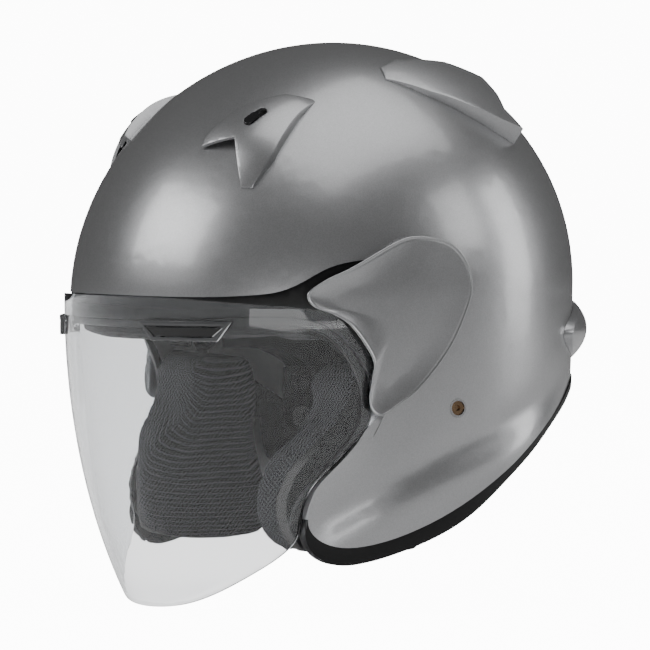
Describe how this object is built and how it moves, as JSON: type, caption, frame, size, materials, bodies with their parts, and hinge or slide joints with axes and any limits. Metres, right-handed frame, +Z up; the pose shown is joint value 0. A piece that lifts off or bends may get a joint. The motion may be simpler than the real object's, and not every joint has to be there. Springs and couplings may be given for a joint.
{
  "type": "open face motorcycle helmet",
  "caption": "Open face motorcycle helmet: hard shell over foam and padded lining, with a clear full face shield that swings up on side pivots under pods, and sliding vents.",
  "frame": {"origin": "middle of the head cavity on the mid-plane, level with the ears", "axes": "+Z up in the worn attitude, -Y is the front, +X is the wearer's left"},
  "size_m": [0.255, 0.2942, 0.3007],
  "materials": {
    "silver_paint": "silver-grey metallic lacquer under a clear coat",
    "foam": "black expanded polystyrene foam",
    "lining_fabric": "black brushed lining cloth",
    "ribbed_fabric": "black ribbed brow cloth",
    "mesh_fabric": "black open mesh over foam, with a grey net pattern",
    "plate_plastic": "black moulded plastic",
    "trim_rubber": "black rubber edge trim",
    "steel": "plain steel",
    "black_steel": "black coated steel",
    "bronze": "bronzed screw head",
    "washer_plastic": "white low-friction plastic",
    "ring_plastic": "black glossy plastic",
    "smoke_shield": "light smoke polycarbonate, clear and glossy",
    "vent_plastic": "clear-edged glossy plastic frame",
    "dark_gloss": "dark glossy plastic",
    "webbing": "black woven webbing"
  },
  "bodies": {
    "helmet": {"outer_shell": "silver_paint", "foam_liner": "foam", "crown_lining": "lining_fabric", "brow_band": "ribbed_fabric", "neck_roll": "lining_fabric", "cheek_plate_left": "plate_plastic", "cheek_plate_right": "plate_plastic", "cheek_pad_left": "mesh_fabric", "cheek_pad_right": "mesh_fabric", "window_trim": "trim_rubber", "cheek_trim_left": "trim_rubber", "cheek_trim_right": "trim_rubber", "bottom_trim": "trim_rubber", "side_pod_left": "silver_paint", "side_pod_right": "silver_paint", "pivot_base_left": "plate_plastic", "pivot_base_right": "plate_plastic", "pivot_screw_left": "steel", "pivot_screw_right": "steel", "pivot_washer_left": "washer_plastic", "pivot_washer_right": "washer_plastic", "brow_duct_left": "silver_paint", "brow_duct_right": "silver_paint", "rear_diffuser_left": "silver_paint", "rear_diffuser_right": "silver_paint", "neck_exhaust": "silver_paint", "rivet_cup_left": "steel", "rivet_cup_right": "steel", "strap_rivet_left": "bronze", "strap_rivet_right": "bronze", "strap_anchor_left": "black_steel", "strap_anchor_right": "black_steel", "strap_short": "webbing", "strap_long": "webbing", "snap_stud": "black_steel", "snap_socket": "dark_gloss"},
    "shield": {"face_shield": "smoke_shield", "shield_ring_left": "ring_plastic", "shield_ring_right": "ring_plastic", "vent_frame_left": "vent_plastic", "vent_frame_right": "vent_plastic"},
    "vent_flap_left": {"vent_flap_left": "dark_gloss"},
    "vent_flap_right": {"vent_flap_right": "dark_gloss"},
    "duct_slider_left": {"duct_slider_left": "dark_gloss"},
    "duct_slider_right": {"duct_slider_right": "dark_gloss"},
    "d_rings": {"d_ring_outer": "steel", "d_ring_inner": "steel"}
  },
  "joints": [
    {"name": "shield_hinge", "type": "hinge", "parent": "helmet", "child": "shield", "pos_m": [0, -0.012, 0.016], "axis": [-1, 0, 0], "range_deg": [0, 37]},
    {"name": "vent_flap_left_hinge", "type": "hinge", "parent": "shield", "child": "vent_flap_left", "pos_m": [0.06635, -0.12218, 0], "axis": [-0.8156, -0.5787, 0], "range_deg": [0, 14]},
    {"name": "vent_flap_right_hinge", "type": "hinge", "parent": "shield", "child": "vent_flap_right", "pos_m": [-0.06635, -0.12218, 0], "axis": [-0.8156, 0.5787, 0], "range_deg": [0, 14]},
    {"name": "duct_slider_left_slide", "type": "slide", "parent": "helmet", "child": "duct_slider_left", "axis": [0.0479, 0.833, 0.5512], "range_m": [0, 0.005]},
    {"name": "duct_slider_right_slide", "type": "slide", "parent": "helmet", "child": "duct_slider_right", "axis": [-0.0479, 0.833, 0.5512], "range_m": [0, 0.005]},
    {"name": "d_rings_hinge", "type": "hinge", "parent": "helmet", "child": "d_rings", "pos_m": [0.0995, 0.03, -0.0765], "axis": [0, 1, 0], "range_deg": [0, 50]}
  ]
}
